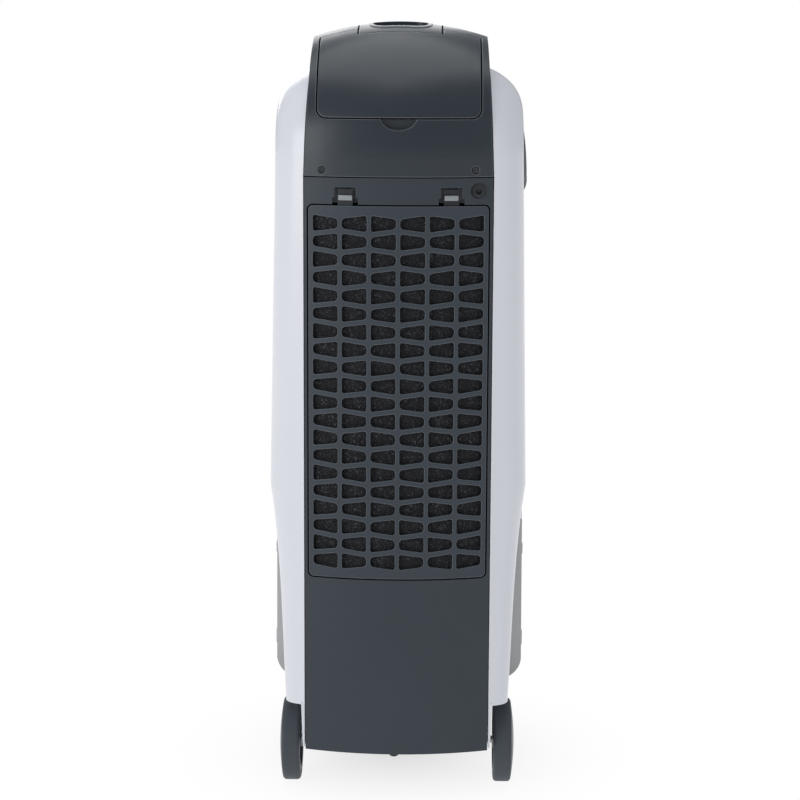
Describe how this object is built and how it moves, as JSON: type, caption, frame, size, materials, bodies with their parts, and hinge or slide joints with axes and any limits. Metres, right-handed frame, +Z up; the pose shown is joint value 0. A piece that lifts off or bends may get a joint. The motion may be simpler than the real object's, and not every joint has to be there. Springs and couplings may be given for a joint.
{
  "type": "evaporative cooler",
  "caption": "Slim wheeled evaporative air cooler: dark curved rear panel with tapered-hole intake grille, ice lid on top, white side panels and a pull-out front tank.",
  "frame": {"origin": "on the floor under the middle of the body's box", "axes": "+Z up, +Y towards the rear intake grille, +X towards the right seen from the front"},
  "size_m": [0.2864, 0.35, 0.8418],
  "materials": {
    "dark_frame": "fine moulded grain",
    "rubber_feet": "matt rubber",
    "steel": "drawn steel",
    "steel_dark": "black zinc",
    "black_trim": "satin moulded",
    "white_shell": "smooth white gloss",
    "wheel_rubber": "satin rubber",
    "wheel_hub": "satin moulded",
    "charcoal_shell": "fine spark-eroded grain",
    "charcoal_cover": "satin moulded",
    "charcoal_grille": "fine moulded grain",
    "filter_mesh": "woven nylon mesh",
    "cellulose_pad": "fluted cellulose",
    "ice_bin_grey": "smooth moulded",
    "panel_black": "gloss black",
    "display_glass": "tinted clear",
    "board_green": "solder mask",
    "housing_grey": "moulded",
    "fan_white": "moulded",
    "pump_blue": "moulded",
    "hose_clear": "soft vinyl",
    "tank_grey": "smooth satin grey",
    "gauge_clear": "clear",
    "float_red": "moulded foam",
    "button_grey": "satin"
  },
  "bodies": {
    "body": {"base_chassis": "dark_frame", "front_feet": "rubber_feet", "wheel_axle": "steel", "sump_tray": "dark_frame", "inner_frame": "dark_frame", "side_panel_right": "white_shell", "side_panel_left": "white_shell", "side_grip_right": "black_trim", "side_grip_left": "black_trim", "rear_panel": "charcoal_shell", "cord_gland": "black_trim", "upper_cover": "charcoal_cover", "cover_screws": "steel_dark", "ice_bin": "ice_bin_grey", "top_handle": "charcoal_cover", "control_panel": "panel_black", "display_window": "display_glass", "control_board": "board_green", "front_fascia": "charcoal_shell", "outlet_duct": "black_trim", "swing_motor": "steel", "blower_housing_front": "housing_grey", "blower_housing_rear": "housing_grey", "blower_motor": "steel_dark", "air_intake_frame": "dark_frame", "water_distributor": "ice_bin_grey", "pump_body": "pump_blue", "pump_hose": "hose_clear"},
    "lid": {"lid": "charcoal_cover"},
    "cassette": {"rear_grille": "charcoal_grille", "grille_latches": "black_trim", "dust_filter": "filter_mesh", "pad_frame": "dark_frame", "cooling_pad": "cellulose_pad"},
    "wheel_left": {"wheel_tyre_left": "wheel_rubber", "wheel_hub_left": "wheel_hub"},
    "wheel_right": {"wheel_tyre_right": "wheel_rubber", "wheel_hub_right": "wheel_hub"},
    "blower_rotor": {"blower_wheel": "fan_white", "blower_shaft": "steel"},
    "impeller": {"pump_impeller": "fan_white"},
    "louvre_link": {"louvre_link": "black_trim"},
    "swing_link": {"swing_link": "black_trim"},
    "tank": {"water_tank": "tank_grey", "tank_catches": "white_shell", "tank_gauge": "gauge_clear"},
    "float": {"tank_float": "float_red"},
    "drain_plug": {"drain_plug": "black_trim"},
    "louvre_1": {"louvre_blade_1": "charcoal_grille"},
    "vane_1": {"swing_vane_1": "black_trim"},
    "button_1": {"button_1": "button_grey"},
    "louvre_2": {"louvre_blade_2": "charcoal_grille"},
    "vane_2": {"swing_vane_2": "black_trim"},
    "button_2": {"button_2": "button_grey"},
    "louvre_3": {"louvre_blade_3": "charcoal_grille"},
    "vane_3": {"swing_vane_3": "black_trim"},
    "button_3": {"button_3": "button_grey"},
    "louvre_4": {"louvre_blade_4": "charcoal_grille"},
    "vane_4": {"swing_vane_4": "black_trim"},
    "button_4": {"button_4": "button_grey"}
  },
  "joints": [
    {"name": "lid_hinge", "type": "hinge", "parent": "body", "child": "lid", "pos_m": [0, 0.05369, 0.82404], "axis": [1, 0, 0], "range_deg": [0, 88]},
    {"name": "cassette_pull", "type": "slide", "parent": "body", "child": "cassette", "axis": [0, 1, 0], "range_m": [0, 0.09]},
    {"name": "tank_slide", "type": "slide", "parent": "body", "child": "tank", "axis": [0, -1, 0], "range_m": [0, 0.18]},
    {"name": "float_rise", "type": "slide", "parent": "tank", "child": "float", "axis": [0, 0, 1], "range_m": [0, 0.11]},
    {"name": "drain_pull", "type": "slide", "parent": "body", "child": "drain_plug", "axis": [0, 0, -1], "range_m": [0, 0.03]},
    {"name": "wheel_left_roll", "type": "hinge", "parent": "body", "child": "wheel_left", "pos_m": [-0.11735, 0.105, 0.0465], "axis": [1, 0, 0], "continuous": true},
    {"name": "wheel_right_roll", "type": "hinge", "parent": "body", "child": "wheel_right", "pos_m": [0.11735, 0.105, 0.0465], "axis": [1, 0, 0], "continuous": true},
    {"name": "blower_spin", "type": "hinge", "parent": "body", "child": "blower_rotor", "pos_m": [0, 0.00421, 0.43], "axis": [0, 1, 0], "continuous": true},
    {"name": "impeller_spin", "type": "hinge", "parent": "body", "child": "impeller", "pos_m": [-0.053, 0.08221, 0.0665], "axis": [0, 0, 1], "continuous": true},
    {"name": "button_1_press", "type": "slide", "parent": "body", "child": "button_1", "axis": [0, 0.454, -0.891], "range_m": [0, 0.0012], "stiffness_N_per_m": 400, "springref_m": -0.001},
    {"name": "button_2_press", "type": "slide", "parent": "body", "child": "button_2", "axis": [0, 0.454, -0.891], "range_m": [0, 0.0012], "stiffness_N_per_m": 400, "springref_m": -0.001},
    {"name": "button_3_press", "type": "slide", "parent": "body", "child": "button_3", "axis": [0, 0.454, -0.891], "range_m": [0, 0.0012], "stiffness_N_per_m": 400, "springref_m": -0.001},
    {"name": "button_4_press", "type": "slide", "parent": "body", "child": "button_4", "axis": [0, 0.454, -0.891], "range_m": [0, 0.0012], "stiffness_N_per_m": 400, "springref_m": -0.001},
    {"name": "louvre_1_tilt", "type": "hinge", "parent": "body", "child": "louvre_1", "pos_m": [0, -0.128, 0.529], "axis": [1, 0, 0], "range_deg": [-30, 30]},
    {"name": "vane_1_swing", "type": "hinge", "parent": "body", "child": "vane_1", "pos_m": [-0.05663, -0.06, 0.58], "axis": [0, 0, 1], "range_deg": [-25, 25]},
    {"name": "louvre_2_tilt", "type": "hinge", "parent": "body", "child": "louvre_2", "pos_m": [0, -0.128, 0.563], "axis": [1, 0, 0], "range_deg": [-30, 30]},
    {"name": "vane_2_swing", "type": "hinge", "parent": "body", "child": "vane_2", "pos_m": [-0.01887, -0.06, 0.58], "axis": [0, 0, 1], "range_deg": [-25, 25]},
    {"name": "louvre_3_tilt", "type": "hinge", "parent": "body", "child": "louvre_3", "pos_m": [0, -0.128, 0.597], "axis": [1, 0, 0], "range_deg": [-30, 30]},
    {"name": "vane_3_swing", "type": "hinge", "parent": "body", "child": "vane_3", "pos_m": [0.01887, -0.06, 0.58], "axis": [0, 0, 1], "range_deg": [-25, 25]},
    {"name": "louvre_4_tilt", "type": "hinge", "parent": "body", "child": "louvre_4", "pos_m": [0, -0.128, 0.631], "axis": [1, 0, 0], "range_deg": [-30, 30]},
    {"name": "vane_4_swing", "type": "hinge", "parent": "body", "child": "vane_4", "pos_m": [0.05663, -0.06, 0.58], "axis": [0, 0, 1], "range_deg": [-25, 25]},
    {"name": "louvre_link_pivot", "type": "hinge", "parent": "louvre_1", "child": "louvre_link", "pos_m": [0.0035, -0.116, 0.529], "axis": [1, 0, 0], "range_deg": [-30, 30]},
    {"name": "swing_link_pivot", "type": "hinge", "parent": "vane_1", "child": "swing_link", "pos_m": [-0.05663, -0.048, 0.51], "axis": [0, 0, 1], "range_deg": [-25, 25]}
  ],
  "couplings": [
    {"joint": "louvre_2_tilt", "follows": "louvre_1_tilt", "ratio": 1},
    {"joint": "vane_2_swing", "follows": "vane_1_swing", "ratio": 1},
    {"joint": "louvre_3_tilt", "follows": "louvre_1_tilt", "ratio": 1},
    {"joint": "vane_3_swing", "follows": "vane_1_swing", "ratio": 1},
    {"joint": "louvre_4_tilt", "follows": "louvre_1_tilt", "ratio": 1},
    {"joint": "vane_4_swing", "follows": "vane_1_swing", "ratio": 1},
    {"joint": "louvre_link_pivot", "follows": "louvre_1_tilt", "ratio": -1},
    {"joint": "swing_link_pivot", "follows": "vane_1_swing", "ratio": -1}
  ]
}
